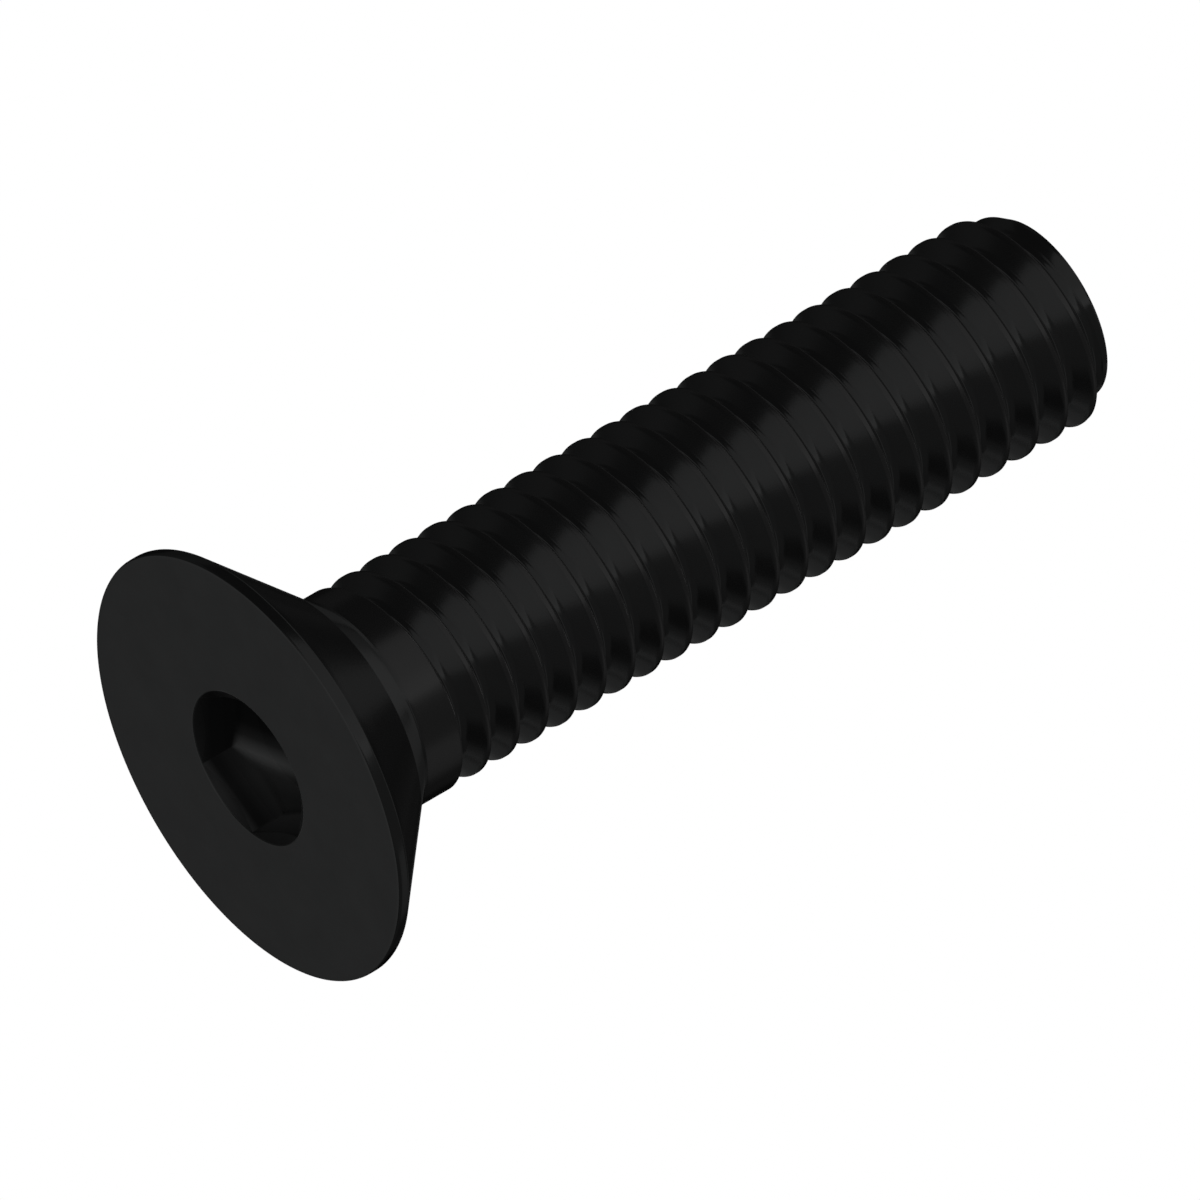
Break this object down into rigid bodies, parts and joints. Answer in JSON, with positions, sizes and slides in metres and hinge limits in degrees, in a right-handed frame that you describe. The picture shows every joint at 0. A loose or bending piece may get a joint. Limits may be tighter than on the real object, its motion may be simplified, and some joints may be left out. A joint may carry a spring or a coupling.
{
  "type": "countersunk socket screw",
  "caption": "Countersunk machine screw with a hexagon socket in its flat head, a short plain neck and a right-hand thread along its shank to a chamfered end.",
  "frame": {"origin": "middle of the flat face of the head, which the screw stands on", "axes": "+Z along the screw from the head to its threaded end, with two corners of the hexagon socket on the X axis"},
  "size_m": [0.016, 0.016, 0.0345],
  "materials": {
    "black_steel": "black oxide, satin"
  },
  "bodies": {
    "root": {"screw": "black_steel"}
  },
  "joints": []
}
